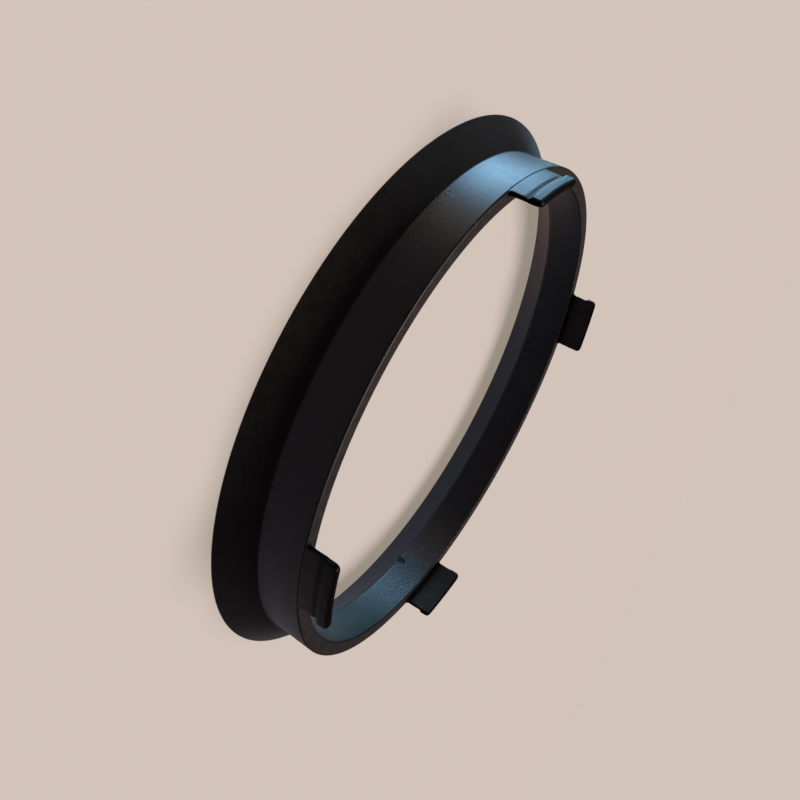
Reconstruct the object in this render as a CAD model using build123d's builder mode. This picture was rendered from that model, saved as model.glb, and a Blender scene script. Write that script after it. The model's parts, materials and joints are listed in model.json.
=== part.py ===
"""Hub centric ring: a moulded ring that centres a car wheel on its hub.

The ring is one moulding. It lies on the back of its flange with its axis along Z,
and its snap tabs point up. All sizes are in millimetres.
"""
import os
from math import radians, tan

from build123d import *

# Ring body
bore_diameter = 63.4        # slides over the hub's spigot
wall = 1.85                 # the seat in the wheel's centre hole is two walls wider than the bore
body_height = 8.6           # back of the flange to the front face
front_edge_radius = 0.25    # outer edge of the front face
bore_edge_chamfer = 0.15    # inner edge of the front face

# Flange: a hollow cone that stops the ring against the back of the wheel
flange_width = 3.4          # reach beyond the seat
flange_slope = 48           # degrees from the axis
rim_land = 0.1              # straight edge round the rim
back_face_width = 1.7       # flat that the ring lies on
lead_in_slope = 44          # degrees from the axis, for the hollow inside the flange
flange_root_radius = 0.35   # hollow where the flange leaves the seat
lead_in_edge_radius = 0.5   # soft edge where the lead-in meets the bore

# Snap tabs: thin tongues on the front face, each with a barb that clips behind the wheel
tab_count = 4
tab_width = 9.3
tab_inset = 0.05            # root of the neck set in from the seat
neck_length = 2.15          # front face to the barb
neck_thickness = 0.6        # at the root
neck_taper = 0.08           # thinner by this at the barb
neck_relief = 0.15          # one side of the neck is narrower than the barb
barb_length = 1.6
barb_height = 0.33          # catch of the barb, at 45 degrees
tip_thickness = 0.75
tip_corner_radius = 0.6
root_radius = 0.4           # where the sides of a tab meet the front face
root_depth = 1.5            # a tab's root inside the wall

bore_radius = bore_diameter / 2
seat_radius = bore_radius + wall
rim_radius = seat_radius + flange_width
back_face_radius = rim_radius - back_face_width
flange_height = rim_land + flange_width / tan(radians(flange_slope))
lead_in_depth = (back_face_radius - bore_radius) / tan(radians(lead_in_slope))
tip_height = body_height + neck_length + barb_length

# One snap tab, on the +X side: its radial section is turned about the axis,
# and its outline as seen from outside cuts the width out of that ring.
neck_outside = seat_radius - tab_inset
tab_inside = neck_outside - neck_thickness
neck_end = neck_outside - neck_taper
barb_start = body_height + neck_length
half_width = tab_width / 2
shoulder = half_width + 2 * root_radius

with BuildPart() as snap_tab:
    with BuildSketch(Plane.XZ) as tab_section:
        with BuildLine():
            Polyline(
                (tab_inside, body_height - root_depth),
                (neck_outside, body_height - root_depth),
                (neck_end, barb_start),
                (neck_end + barb_height, barb_start + barb_height),
                (tab_inside + tip_thickness, tip_height),
                (tab_inside, tip_height),
                close=True,
            )
        make_face()
    revolve(axis=Axis.Z)

    with BuildSketch(Plane.YZ) as tab_outline:
        with BuildLine():
            Polyline(
                (-shoulder, body_height - root_depth),
                (shoulder, body_height - root_depth),
                (shoulder, body_height),
                (half_width - neck_relief, body_height),
                (half_width - neck_relief, barb_start),
                (half_width, barb_start + neck_relief),
                (half_width, tip_height),
                (-half_width, tip_height),
                (-half_width, body_height),
                (-shoulder, body_height),
                close=True,
            )
        make_face()
        tip_corners = tab_outline.vertices().group_by(Axis.Y)[-1]
        fillet(tip_corners, radius=tip_corner_radius)
        root_corners = tab_outline.vertices().sort_by_distance((0, body_height))[:2]
        fillet(root_corners, radius=root_radius)
    extrude(amount=rim_radius, mode=Mode.INTERSECT)

# The ring body is one profile turned about the axis, with the tabs on its front face
with BuildPart() as ring:
    with BuildSketch(Plane.XZ) as profile:
        with BuildLine():
            Polyline(
                (back_face_radius, 0),
                (rim_radius, 0),
                (rim_radius, rim_land),
                (seat_radius, flange_height),
                (seat_radius, body_height),
                (bore_radius, body_height),
                (bore_radius, lead_in_depth),
                close=True,
            )
        make_face()
        flange_root = profile.vertices().sort_by_distance((seat_radius, flange_height))[0]
        fillet(flange_root, radius=flange_root_radius)
        lead_in_edge = profile.vertices().sort_by_distance((bore_radius, lead_in_depth))[0]
        fillet(lead_in_edge, radius=lead_in_edge_radius)
        front_outer = profile.vertices().sort_by_distance((seat_radius, body_height))[0]
        fillet(front_outer, radius=min(front_edge_radius, wall / 3))
        front_inner = profile.vertices().sort_by_distance((bore_radius, body_height))[0]
        chamfer(front_inner, length=min(bore_edge_chamfer, wall / 3))
    revolve(axis=Axis.Z)
    with PolarLocations(0, tab_count):
        add(snap_tab.part)

ring.part.label = "hub_centric_ring"
os.makedirs("parts", exist_ok=True)
export_step(ring.part, "parts/hub_centric_ring.step")
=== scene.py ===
import json
import bpy
import numpy as np
from math import cos, pi, radians, sin, tan
from mathutils import Matrix, Vector


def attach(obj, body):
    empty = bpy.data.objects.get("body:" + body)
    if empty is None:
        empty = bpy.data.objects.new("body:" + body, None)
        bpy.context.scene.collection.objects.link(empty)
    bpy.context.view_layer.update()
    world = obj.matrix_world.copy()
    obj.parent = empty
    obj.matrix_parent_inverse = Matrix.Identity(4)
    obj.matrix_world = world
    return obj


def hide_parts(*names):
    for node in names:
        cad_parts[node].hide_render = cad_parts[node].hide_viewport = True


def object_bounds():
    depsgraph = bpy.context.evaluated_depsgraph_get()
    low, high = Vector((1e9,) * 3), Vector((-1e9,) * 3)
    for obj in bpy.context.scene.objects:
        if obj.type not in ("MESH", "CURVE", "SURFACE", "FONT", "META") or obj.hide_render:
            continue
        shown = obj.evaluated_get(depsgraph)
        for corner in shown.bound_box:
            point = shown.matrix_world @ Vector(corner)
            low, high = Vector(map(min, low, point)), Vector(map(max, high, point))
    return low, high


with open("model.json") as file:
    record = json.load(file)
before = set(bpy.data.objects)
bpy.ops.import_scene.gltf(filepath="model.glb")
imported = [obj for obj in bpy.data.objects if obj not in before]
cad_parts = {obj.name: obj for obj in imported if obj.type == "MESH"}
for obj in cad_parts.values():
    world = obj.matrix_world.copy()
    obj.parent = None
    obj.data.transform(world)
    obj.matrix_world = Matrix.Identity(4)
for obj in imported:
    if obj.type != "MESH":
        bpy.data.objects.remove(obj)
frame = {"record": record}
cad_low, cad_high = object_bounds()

scene = bpy.context.scene


# The ring is one injection moulding. Its body is a thin seat with a hollow conical flange, turned here
# from one profile, as its mould would be on a lathe, with the soft edges that a moulding comes out with.
# All sizes are in millimetres; the seat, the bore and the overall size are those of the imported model.
mount_sizes = {mount["name"]: mount["dims"] for mount in frame["record"]["mounts"]}
bore_radius = mount_sizes["hub_bore"]["r_mm"]
seat_radius = mount_sizes["wheel_seat"]["r_mm"]
mm_per_metre = 1000
rim_radius = mm_per_metre * cad_high[0]
tip_height = mm_per_metre * cad_high[2]
body_height = 8.6
rim_land = 0.1
back_face_width = 1.7
flange_slope = radians(48)
lead_in_slope = radians(44)
flange_height = rim_land + (rim_radius - seat_radius) / tan(flange_slope)
back_face_radius = rim_radius - back_face_width
lead_in_depth = (back_face_radius - bore_radius) / tan(lead_in_slope)
bore_edge = 0.15
back_edge_round = 0.10
rim_edge_round = 0.04
rim_land_round = 0.06
flange_root_round = 0.35
front_edge_round = 0.25
bore_edge_round = 0.08
lead_in_edge_round = 0.50
steps_round = 384


def rounded_outline(corners, steps=7):
    """Closed outline with each corner (x, y, radius) swapped for an arc that touches both its sides.

    The arc's centre lies its radius inside the first side, and the outward normal turns evenly along it.
    Gives the points, the normals, and a mask that rises to one in the middle of each outer edge.
    """
    point, radius = corners[:, :2], corners[:, 2:]
    arriving = point - np.roll(point, 1, 0)
    arriving = arriving / np.linalg.norm(arriving, axis=1, keepdims=True)
    leaving = np.roll(arriving, -1, 0)
    bend = np.arctan2(
        arriving[:, 0] * leaving[:, 1] - arriving[:, 1] * leaving[:, 0], (arriving * leaving).sum(1))[:, None]
    outward = np.stack([arriving[:, 1], -arriving[:, 0]], 1)
    side = np.sign(bend) * radius
    centre = point - arriving * radius * np.tan(np.abs(bend) / 2) - outward * side
    share = np.linspace(0, 1, steps)
    angle = np.arctan2(outward[:, 1:], outward[:, :1]) + bend * share
    normal = np.stack([np.cos(angle), np.sin(angle)], -1)
    edge = np.sin(pi * share) * (bend > 0)
    outline = centre[:, None] + side[:, None] * normal
    return outline.reshape(-1, 2), normal.reshape(-1, 2), edge.reshape(-1)


def grid_faces(rows, columns, closed_rows=False):
    """Corner numbers of the four-sided faces of a grid whose last column meets its first."""
    row, column = np.meshgrid(np.arange(rows if closed_rows else rows - 1), np.arange(columns), indexing="ij")
    above, beside = (row + 1) % rows, (column + 1) % columns
    lower, upper = row * columns, above * columns
    faces = [lower + column, lower + beside, upper + beside, upper + column]
    return np.stack(faces, -1).reshape(-1, 4)


profile, profile_normal, profile_edge = rounded_outline(np.array([
    (back_face_radius, 0, back_edge_round),
    (rim_radius, 0, rim_edge_round),
    (rim_radius, rim_land, rim_land_round),
    (seat_radius, flange_height, flange_root_round),
    (seat_radius, body_height, front_edge_round),
    (bore_radius + bore_edge, body_height, bore_edge_round),
    (bore_radius, body_height - bore_edge, bore_edge_round),
    (bore_radius, lead_in_depth, lead_in_edge_round),
]))
turn = np.linspace(0, 2 * pi, steps_round, endpoint=False)
spoke = np.stack([np.cos(turn), np.sin(turn), 0 * turn], -1)
axis = np.array((0, 0, 1.0))
body_points = profile[:, None, :1] * spoke + profile[:, None, 1:] * axis
body_normals = profile_normal[:, None, :1] * spoke + profile_normal[:, None, 1:] * axis
body_edges = np.repeat(profile_edge, steps_round)
body_faces = grid_faces(len(profile), steps_round, closed_rows=True)


# The four snap tabs stand on the front face and are part of the same moulding. Each is a thin tongue that
# follows the ring's curve, with a neck that thins towards a barb, which catches behind the wheel.
tab_count = 4
tab_half_width = 4.65
tab_inset = 0.05
neck_thickness = 0.6
neck_taper = 0.08
neck_length = 2.15
neck_relief = 0.15
tip_thickness = 0.75
neck_outside = seat_radius - tab_inset
tab_inside = neck_outside - neck_thickness
neck_end = neck_outside - neck_taper
barb_start = body_height + neck_length
barb_height = 0.33
dip_length = 0.55
dip_depth = 0.10
tip_outside = tab_inside + tip_thickness
side_round = 0.27
side_round_share = 0.45
tip_round = 0.08
tip_lead_in = 0.36
tip_corner = 0.6
root_round = 0.4
root_tuck = 0.28
root_depth = 0.6
root_blend = 0.1
tip_matt_depth = 0.25
tip_matt_blend = 0.17
crease_middle = 0.15
crease_half_height = 0.25
crease_strength = 1.3


def quarter_round(height, start, radius):
    """How far a quarter circle that starts at a height has curved in: radius less the circle's half chord."""
    rise = np.clip(height - start, 0, radius)
    return radius - np.sqrt(radius ** 2 - rise ** 2)


# Heights of the rows up a tab, closer where its shape turns
levels = np.concatenate([
    [body_height - root_depth],
    body_height + root_round * (1 - np.cos(np.linspace(0, pi / 2, 8))),
    np.linspace(body_height + 0.7, barb_start - dip_length - 0.15, 4),
    barb_start - dip_length + np.array((-0.05, 0.05)),
    barb_start + np.array((-0.30, -0.15, -0.04, 0.04)),
    barb_start + barb_height + np.array((-0.05, 0.05)),
    np.linspace(barb_start + barb_height + 0.2, tip_height - tip_corner, 3),
    tip_height - tip_corner + tip_corner * np.sin(np.linspace(0, 1, 9)[1:-1] * pi / 2 * 0.8),
    tip_height - tip_round + tip_round * np.sin(np.linspace(0, pi / 2, 7)),
])
levels = np.unique(levels)[:, None]
tip_inset = quarter_round(levels, tip_height - tip_round, tip_round)
outside = np.interp(
    levels,
    (body_height, barb_start - dip_length, barb_start, barb_start + barb_height, tip_height),
    (neck_outside, neck_end, neck_end - dip_depth, neck_end + barb_height, tip_outside))
outside = outside - quarter_round(levels, tip_height - tip_lead_in, tip_lead_in)
inside = tab_inside + tip_inset
corner_round = np.minimum(side_round, side_round_share * (outside - inside))
flare = quarter_round(-levels, -body_height - root_round, root_round)
width = tab_half_width - quarter_round(levels, tip_height - tip_corner, tip_corner) - tip_inset / 2 + flare
relieved = np.interp(levels, (barb_start, barb_start + neck_relief), (neck_relief, 0))

# Round a tab at each level: the outer face, two corners, the inner face and two corners. Each place has its
# share of the width, its face (1 outer, 0 inner), and its direction from the corner's centre.
across = (1 - np.cos(np.linspace(0, pi, 25))) / 2
curl = np.linspace(0, pi / 2, 7)[1:-1]
ahead = np.concatenate([0 * across, curl, curl + pi / 2, 0 * across + pi, curl + pi, curl + 3 * pi / 2])
share = np.concatenate([across, 0 * curl + 1, 0 * curl + 1, across[::-1], 0 * curl, 0 * curl])
outer = np.concatenate([0 * across + 1, 0 * curl + 1, 0 * curl, 0 * across, 0 * curl, 0 * curl + 1])
left, right = corner_round - width, width - relieved - corner_round
sideways = left + (right - left) * share + corner_round * np.sin(ahead)
reach = inside + corner_round + (outside - inside - 2 * corner_round) * outer + corner_round * np.cos(ahead)
past_side = np.maximum(flare - width - sideways, sideways + flare - width + relieved)
reach = reach - outer * root_tuck * (np.clip(past_side, 0, root_round) / root_round) ** 2
tab = np.stack([np.sqrt(reach ** 2 - sideways ** 2), sideways, levels + 0 * reach], -1)
along_tab = np.roll(tab, -1, 1) - np.roll(tab, 1, 1)
up_tab = np.gradient(tab, axis=0)
tab_normal = np.cross(along_tab, up_tab)
tab_normal = tab_normal / np.linalg.norm(tab_normal, axis=-1, keepdims=True)

# Masks: the tucked roots count as rubbed edges. A tab's sides, its tip and the crease ahead of its barb get
# painted shade: the darkest black and a much weaker reflection, so that they show dark
on_side = np.sin(ahead) ** 2 + 0 * levels
near_tip = np.clip((levels - tip_height + tip_matt_depth) / tip_matt_blend, 0, 1) + 0 * ahead
near_root = np.clip(past_side / root_blend, 0, 1)
from_crease = np.abs(levels - barb_start - crease_middle) / crease_half_height
# Painted shade in the crease ahead of the barb
crease_painted_shade = outer * np.clip(crease_strength - from_crease, 0, 1)
tab_edge = near_root.reshape(-1)
tab_painted_shade = np.maximum.reduce([on_side, near_tip, crease_painted_shade]).reshape(-1)
tab_rows, tab_columns = reach.shape

quarters = np.arange(tab_count) * 2 * pi / tab_count
turned = np.stack([
    np.stack([np.cos(quarters), -np.sin(quarters), 0 * quarters], -1),
    np.stack([np.sin(quarters), np.cos(quarters), 0 * quarters], -1),
    np.stack([0 * quarters, 0 * quarters, 0 * quarters + 1], -1)], 1)
tab_points = np.einsum("tij,rcj->trci", turned, tab).reshape(-1, 3)
tab_normals = np.einsum("tij,rcj->trci", turned, tab_normal).reshape(-1, 3)
first_points = body_edges.size + np.arange(tab_count) * tab_rows * tab_columns
tab_faces = (first_points[:, None, None] + grid_faces(tab_rows, tab_columns)).reshape(-1, 4)
foot = np.arange(tab_columns)[::-1]
crown = (tab_rows - 1) * tab_columns + np.arange(tab_columns)
tab_ends = (first_points[:, None, None] + np.stack([foot, crown])).reshape(-1, tab_columns)

moulding = bpy.data.meshes.new("moulded_ring")
all_points = np.concatenate([body_points.reshape(-1, 3), tab_points]) / mm_per_metre
all_faces = body_faces.tolist() + tab_faces.tolist() + tab_ends.tolist()
moulding.from_pydata(all_points.tolist(), [], all_faces)
moulding.shade_smooth()
all_normals = np.concatenate([body_normals.reshape(-1, 3), tab_normals])
moulding.normals_split_custom_set_from_vertices(all_normals.tolist())
rubbed_edge = moulding.attributes.new("rubbed_edge", "FLOAT", "POINT")
rubbed_edge.data.foreach_set("value", np.concatenate([body_edges, np.tile(tab_edge, tab_count)]))
# Painted shade on the tabs' sides, tips and creases, carried to the material as an attribute
mould_joint = moulding.attributes.new("mould_joint", "FLOAT", "POINT")
mould_joint.data.foreach_set("value", np.concatenate([0 * body_edges, np.tile(tab_painted_shade, tab_count)]))
ring = bpy.data.objects.new("moulded_ring", moulding)
scene.collection.objects.link(ring)
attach(ring, "root")
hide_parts("hub_centric_ring")


# The moulding's skin is satin black plastic with the fine grain of the mould, faint flow marks, edges that
# are rubbed a little paler, painted shade on the tabs' sides, tips and creases, a painted brown reflection
# inside one tab, and the dished mark of an ejector pin on the bore below each tab.
mark_height = 4.2
mark_half_size = (0.6, 0.6, 0.8)
deep_black = (0.0055, 0.0060, 0.0075, 1)
worn_black = (0.0090, 0.0095, 0.0115, 1)
# The darkest black serves the ejector marks and the painted shade on the tabs
mark_and_shade_black = (0.0030, 0.0030, 0.0030, 1)
edge_grey = (0.022, 0.020, 0.020, 1)
clear_shine = (1, 1, 1, 1)
# Brown tint of the reflection: a painted warm reflection inside the tab on +X
painted_brown_tint = (1, 0.72, 0.56, 1)
full_shine = 0.5
least_shine = 0.03
shine_lost = {"bore": -0.17, "film": -0.16, "edge": -0.15, "joint": -0.46}
satin_range = (0.34, 0.39)
dullness = {"grain": 0.08, "coarse": 0.26, "mark": 0.30, "edge": 0.20}
relief_depth = {
    "grain": 0.016, "coarse": 0.050, "bore": 0.014, "mottle": 0.004, "flow": 0.002, "mark": -0.18}
patterns_per_mm = {"grain": 3.0, "mottle": 0.9, "flow": 0.5}
flow_rise = 0.12
middle_values = (0.3, 0.7)
patch_values = (0.75, 1.25)
rub_values = (0.35, 0.65)
rub_share = (0.1, 0.8)
mark_rim = (0.5, 1.0)
stuck_side = (10, 28)
stuck_share = (0.15, 1.0)
tab_inner_skin = (tab_inside + 0.05, tab_inside + 0.40)
tab_foot = (body_height + 0.1, body_height + 0.5)
bore_skin = (bore_radius + 0.1, bore_radius + 0.3)
bore_start = (lead_in_depth, lead_in_depth + 0.4)

plastic = bpy.data.materials.new("black_plastic")
plastic.use_nodes = True
plastic_tree = plastic.node_tree
plastic_shader = plastic_tree.nodes["Principled BSDF"]


def add_node(tree, kind, values=(), **settings):
    """Add a shader node, set its settings, and set or link its inputs by name or number."""
    node = tree.nodes.new(kind)
    for name, value in settings.items():
        setattr(node, name, value)
    for socket, value in dict(values).items():
        if isinstance(value, bpy.types.NodeSocket):
            tree.links.new(value, node.inputs[socket])
        else:
            node.inputs[socket].default_value = value
    return node


def work_out(tree, operation, *values):
    """A Math node's result, from numbers or other nodes' outputs."""
    return add_node(tree, "ShaderNodeMath", enumerate(values), operation=operation).outputs[0]


def work_out_vector(tree, operation, *values, result=0):
    """A Vector Math node's result, from vectors or other nodes' outputs."""
    return add_node(tree, "ShaderNodeVectorMath", enumerate(values), operation=operation).outputs[result]


def spread(tree, value, low, high, start, end):
    """Carry a value from the range low to high over to the range start to end, held at its ends."""
    values = {"Value": value, "From Min": low, "From Max": high, "To Min": start, "To Max": end}
    return add_node(tree, "ShaderNodeMapRange", values, interpolation_type="SMOOTHSTEP").outputs[0]


def noise(tree, vector, scale, detail):
    """A soft random pattern from 0 to 1, with some finer detail."""
    values = {"Vector": vector, "Scale": scale, "Detail": detail}
    return add_node(tree, "ShaderNodeTexNoise", values).outputs[0]


def blend_colours(tree, share, first, second):
    """A colour between two others, by a share from 0 to 1."""
    return add_node(tree, "ShaderNodeMix", {0: share, 6: first, 7: second}, data_type="RGBA").outputs[2]


# The point in millimetres, and the same point carried out to the seat's radius with little of its height:
# a pattern there changes round the ring and hardly up it, as if the plastic flowed from flange to tabs.
place = add_node(plastic_tree, "ShaderNodeTexCoord").outputs["Object"]
place = work_out_vector(plastic_tree, "MULTIPLY", place, (mm_per_metre,) * 3)
off_axis = work_out_vector(plastic_tree, "MULTIPLY", place, (1, 1, 0))
spoke_out = work_out_vector(plastic_tree, "NORMALIZE", off_axis)
on_seat = work_out_vector(plastic_tree, "MULTIPLY", spoke_out, (seat_radius,) * 3)
slow_rise = work_out_vector(plastic_tree, "MULTIPLY", place, (0, 0, flow_rise))
with_flow = work_out_vector(plastic_tree, "ADD", on_seat, slow_rise)
grain = noise(plastic_tree, place, patterns_per_mm["grain"], 2)
mottle = noise(plastic_tree, place, patterns_per_mm["mottle"], 3)
flow = noise(plastic_tree, with_flow, patterns_per_mm["flow"], 2)

# Ejector marks: the ring's four quarters fold onto one, where an oval dish lies on the bore. The photo shows
# it clearly at the tab on +X alone, so the moulding is taken to have stuck there; the others are faint.
point = add_node(plastic_tree, "ShaderNodeSeparateXYZ", {0: place})
from_y = work_out(plastic_tree, "ABSOLUTE", point.outputs["X"])
from_x = work_out(plastic_tree, "ABSOLUTE", point.outputs["Y"])
folded = add_node(plastic_tree, "ShaderNodeCombineXYZ", {
    0: work_out(plastic_tree, "MAXIMUM", from_x, from_y),
    1: work_out(plastic_tree, "MINIMUM", from_x, from_y),
    2: point.outputs["Z"]})
from_mark = work_out_vector(plastic_tree, "SUBTRACT", folded.outputs[0], (bore_radius, 0, mark_height))
from_mark = work_out_vector(plastic_tree, "DIVIDE", from_mark, mark_half_size)
dish = work_out_vector(plastic_tree, "LENGTH", from_mark, result="Value")
dish = spread(plastic_tree, dish, *mark_rim, 1.0, 0.0)
stuck = spread(plastic_tree, point.outputs["X"], *stuck_side, *stuck_share)
dish = work_out(plastic_tree, "MULTIPLY", dish, stuck)

# Colour: two near blacks in soft patches, a paler grey that comes and goes along the edges, and the darkest
# black in the ejector marks and, as painted shade, on the tabs' sides, tips and creases
patches = spread(plastic_tree, work_out(plastic_tree, "ADD", mottle, flow), *patch_values, 0.0, 1.0)
edge = add_node(plastic_tree, "ShaderNodeAttribute", attribute_name="rubbed_edge").outputs["Fac"]
rubbed = work_out(plastic_tree, "MULTIPLY", edge, spread(plastic_tree, mottle, *rub_values, *rub_share))
skin = blend_colours(plastic_tree, patches, deep_black, worn_black)
skin = blend_colours(plastic_tree, rubbed, skin, edge_grey)
joint = add_node(plastic_tree, "ShaderNodeAttribute", attribute_name="mould_joint").outputs["Fac"]
skin = blend_colours(plastic_tree, work_out(plastic_tree, "MAXIMUM", dish, joint), skin, mark_and_shade_black)
plastic_tree.links.new(skin, plastic_shader.inputs["Base Color"])

# The insides of the tabs look coarser than the turned faces, as if from a spark-eroded part of the mould
radius = work_out_vector(plastic_tree, "LENGTH", off_axis, result="Value")
coarse = work_out(
    plastic_tree, "MULTIPLY",
    spread(plastic_tree, radius, *tab_inner_skin, 1.0, 0.0),
    spread(plastic_tree, point.outputs["Z"], *tab_foot, 0.0, 1.0))

# Gloss: satin, duller on the tops of the grain, in patches, in the marks, on the coarse faces and on edges
satin = spread(plastic_tree, mottle, *middle_values, *satin_range)
satin = work_out(plastic_tree, "SUBTRACT", satin, dullness["grain"] / 2)
satin = work_out(plastic_tree, "MULTIPLY_ADD", grain, dullness["grain"], satin)
satin = work_out(plastic_tree, "MULTIPLY_ADD", coarse, dullness["coarse"], satin)
satin = work_out(plastic_tree, "MULTIPLY_ADD", dish, dullness["mark"], satin)
satin = work_out(plastic_tree, "MULTIPLY_ADD", edge, dullness["edge"], satin)
plastic_tree.links.new(satin, plastic_shader.inputs["Roughness"])

# Shine, the strength of the reflection: less on the bore and the edges, and less as painted shade on the
# tabs' sides, tips and creases and inside the tab on +X, whose reflection is also tinted brown there as a
# painted warm reflection. These amounts are fitted to the photo's light and dark places.
# Painted warm reflection inside the tab on +X: less shine and a brown tint
film = work_out(plastic_tree, "MULTIPLY", coarse, stuck)
on_bore = work_out(
    plastic_tree, "MULTIPLY",
    spread(plastic_tree, radius, *bore_skin, 1.0, 0.0),
    spread(plastic_tree, point.outputs["Z"], *bore_start, 0.0, 1.0))
shine = work_out(plastic_tree, "MULTIPLY_ADD", on_bore, shine_lost["bore"], full_shine)
shine = work_out(plastic_tree, "MULTIPLY_ADD", film, shine_lost["film"], shine)
shine = work_out(plastic_tree, "MULTIPLY_ADD", edge, shine_lost["edge"], shine)
# Painted shade: much weaker reflection on the tabs' sides, tips and creases
shine = work_out(plastic_tree, "MULTIPLY_ADD", joint, shine_lost["joint"], shine)
shine = work_out(plastic_tree, "MAXIMUM", shine, least_shine)
plastic_tree.links.new(shine, plastic_shader.inputs["Specular IOR Level"])
reflection_tint = blend_colours(plastic_tree, film, clear_shine, painted_brown_tint)
plastic_tree.links.new(reflection_tint, plastic_shader.inputs["Specular Tint"])

# Relief in millimetres: grain, deeper on the bore and the coarse faces, patches, flow marks and dished marks
grain_depth = work_out(
    plastic_tree, "MULTIPLY_ADD", coarse, relief_depth["coarse"], relief_depth["grain"])
grain_depth = work_out(plastic_tree, "MULTIPLY_ADD", on_bore, relief_depth["bore"], grain_depth)
relief = work_out(plastic_tree, "MULTIPLY", grain, grain_depth)
relief = work_out(plastic_tree, "MULTIPLY_ADD", mottle, relief_depth["mottle"], relief)
relief = work_out(plastic_tree, "MULTIPLY_ADD", flow, relief_depth["flow"], relief)
relief = work_out(plastic_tree, "MULTIPLY_ADD", dish, relief_depth["mark"], relief)
bump = add_node(plastic_tree, "ShaderNodeBump", {"Distance": 1 / mm_per_metre, "Height": relief})
plastic_tree.links.new(bump.outputs[0], plastic_shader.inputs["Normal"])
moulding.materials.append(plastic)


# The floor is a wide sheet of pale warm board that the ring lies on. It is matt, keeps the ring's shadow,
# and has the colour of the room beyond its edge, so that no horizon shows. In reflections it is dimmer,
# fades with distance, and turns from warm to cool across the ring.
floor_reach = 40.0  # in metres, as all lengths of the floor and the lamps
board_colour = (0.42, 0.44, 0.48, 1)
board_glow = (0.313, 0.263, 0.2115, 1)
board_in_gloss = (0.20, 0.175, 0.195, 1)
board_in_bore_warm = (0.37, 0.26, 0.23, 1)
board_in_bore_cool = (0.235, 0.245, 0.31, 1)
board_far_off = (0.06, 0.045, 0.045, 1)
under_ring = (0.032, 0.040)
past_ring = (0.044, 0.085)
warm_to_cool = (-0.020, 0.020)
middle_ring = 0.001
first_ring = 0.05
ring_count = 24
board_rings = np.concatenate([[middle_ring], np.geomspace(first_ring, floor_reach, ring_count)])
board_spokes = spoke[::4]
board_points = board_rings[:, None, None] * board_spokes
board_faces = grid_faces(len(board_rings), len(board_spokes))[:, ::-1].tolist()
board_middle = list(range(len(board_spokes)))
board = bpy.data.meshes.new("floor")
board.from_pydata(board_points.reshape(-1, 3).tolist(), [], board_faces + [board_middle])
floor = bpy.data.objects.new("floor", board)
scene.collection.objects.link(floor)

paint = bpy.data.materials.new("pale_board")
paint.use_nodes = True
paint_tree = paint.node_tree
paint_tree.nodes.clear()
ray = add_node(paint_tree, "ShaderNodeLightPath")
matt = add_node(paint_tree, "ShaderNodeBsdfDiffuse", {"Color": board_colour})
glow = add_node(paint_tree, "ShaderNodeEmission", {
    "Color": board_glow, "Strength": ray.outputs["Is Camera Ray"]})
seen = add_node(paint_tree, "ShaderNodeAddShader", {0: matt.outputs[0], 1: glow.outputs[0]})
board_place = add_node(paint_tree, "ShaderNodeTexCoord").outputs["Object"]
from_middle = work_out_vector(paint_tree, "LENGTH", board_place, result="Value")
board_x = add_node(paint_tree, "ShaderNodeSeparateXYZ", {0: board_place}).outputs["X"]
outside_ring = spread(paint_tree, from_middle, *under_ring, 0.0, 1.0)
across_ring = spread(paint_tree, board_x, *warm_to_cool, 0.0, 1.0)
in_bore = blend_colours(paint_tree, across_ring, board_in_bore_warm, board_in_bore_cool)
in_gloss = blend_colours(paint_tree, outside_ring, in_bore, board_in_gloss)
away_from_ring = spread(paint_tree, from_middle, *past_ring, 0.0, 1.0)
in_gloss = blend_colours(paint_tree, away_from_ring, in_gloss, board_far_off)
mirrored = add_node(paint_tree, "ShaderNodeEmission", {"Color": in_gloss})
surface = add_node(paint_tree, "ShaderNodeMixShader", {
    0: ray.outputs["Is Glossy Ray"], 1: seen.outputs[0], 2: mirrored.outputs[0]})
add_node(paint_tree, "ShaderNodeOutputMaterial", {"Surface": surface.outputs[0]})
board.materials.append(paint)


# Soft studio light: a broad warm lamp high beyond the ring, a faint fill, and low behind the ring a cool
# window between a dim side window and a dim warm wall. These three lie below the board's level and shine
# past it, as if the ring stood on its edge.
def toward(azimuth, elevation):
    """Unit vector to a compass angle from +X and a height angle, both in degrees."""
    a, e = radians(azimuth), radians(elevation)
    return Vector((cos(a) * cos(e), sin(a) * cos(e), sin(e)))


def hang_lamp(lamp, direction, distance):
    """Put a lamp in a direction from the ring, facing the ring."""
    light = bpy.data.objects.new(lamp.name, lamp)
    facing = direction.to_track_quat("Z", "Y").to_matrix().to_4x4()
    light.matrix_world = Matrix.Translation(direction * distance) @ facing
    light.visible_camera = False
    scene.collection.objects.link(light)


def soft_panel(name, width, height, radiance, colour):
    """A rectangular lamp of even radiance: its power is the radiance times pi times its area."""
    lamp = bpy.data.lights.new(name, "AREA")
    lamp.shape = "RECTANGLE"
    lamp.size, lamp.size_y = width, height
    lamp.energy = radiance * pi * width * height
    lamp.color = colour
    lamp.cycles.use_multiple_importance_sampling = False
    return lamp


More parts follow.
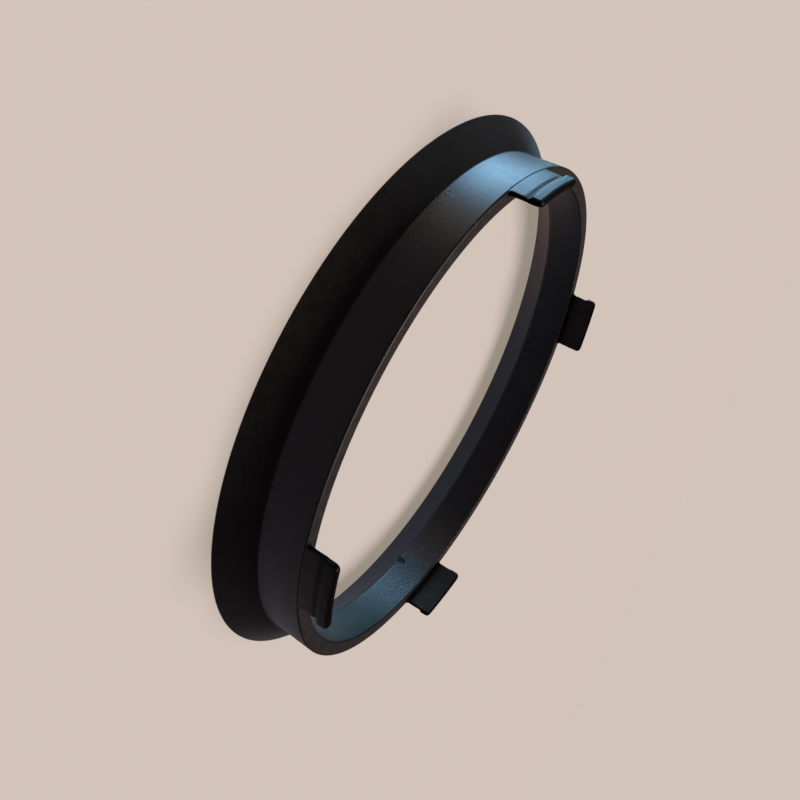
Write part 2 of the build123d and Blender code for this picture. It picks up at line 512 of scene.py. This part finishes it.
warm_lamp = bpy.data.lights.new("warm_lamp", "SUN")
warm_lamp.energy = 2.6
warm_lamp.angle = radians(35)
warm_lamp.color = (1.0, 0.80, 0.70)
hang_lamp(warm_lamp, toward(azimuth=57, elevation=66), distance=1.0)
window = soft_panel("window", width=0.92, height=0.58, radiance=9.5, colour=(0.34, 0.67, 1.0))
hang_lamp(window, toward(azimuth=122.5, elevation=-22), distance=2.0)
side_window = soft_panel("side_window", width=1.46, height=0.41, radiance=0.95, colour=(0.28, 0.84, 1.0))
hang_lamp(side_window, toward(azimuth=88, elevation=-13), distance=2.0)
warm_wall = soft_panel("warm_wall", width=0.92, height=0.45, radiance=1.25, colour=(1.0, 0.58, 0.25))
hang_lamp(warm_wall, toward(azimuth=155, elevation=-18), distance=2.0)
fill = soft_panel("fill", width=0.5, height=0.4, radiance=0.15, colour=(0.9, 0.95, 1.0))
hang_lamp(fill, toward(azimuth=128, elevation=28), distance=0.6)
floor.visible_shadow = False

room_colour = (0.048, 0.038, 0.041, 1)
backdrop_colour = (0.651, 0.552, 0.491, 1)
room = bpy.data.worlds.new("room")
scene.world = room
room.use_nodes = True
room_tree = room.node_tree
room_tree.nodes.clear()
room_ray = add_node(room_tree, "ShaderNodeLightPath")
dim_room = add_node(room_tree, "ShaderNodeBackground", {"Color": room_colour})
backdrop = add_node(room_tree, "ShaderNodeBackground", {"Color": backdrop_colour})
room_seen = add_node(room_tree, "ShaderNodeMixShader", {
    0: room_ray.outputs["Is Camera Ray"], 1: dim_room.outputs[0], 2: backdrop.outputs[0]})
add_node(room_tree, "ShaderNodeOutputWorld", {"Surface": room_seen.outputs[0]})


# The camera stands where the photo was taken from, rolled over so that the tabs point to the right
camera = bpy.data.objects.new("camera", bpy.data.cameras.new("camera"))
scene.collection.objects.link(camera)
eye = Vector((-63.544, -74.547, 35.753)) / mm_per_metre
line_of_sight = Vector((0.53559, 0.73383, -0.41791))
picture_up = Vector((-0.83292, 0.37744, -0.4047))
picture_right = line_of_sight.cross(picture_up)
camera_pose = Matrix((picture_right, picture_up, -line_of_sight)).transposed().to_4x4()
camera_pose.translation = eye
camera.matrix_world = camera_pose
camera.data.sensor_width = 36
camera.data.lens = 34.885
camera.data.shift_x = 0.025
camera.data.shift_y = -0.1125
camera.data.clip_start = 0.001
scene.camera = camera
scene.view_settings.view_transform = "Standard"
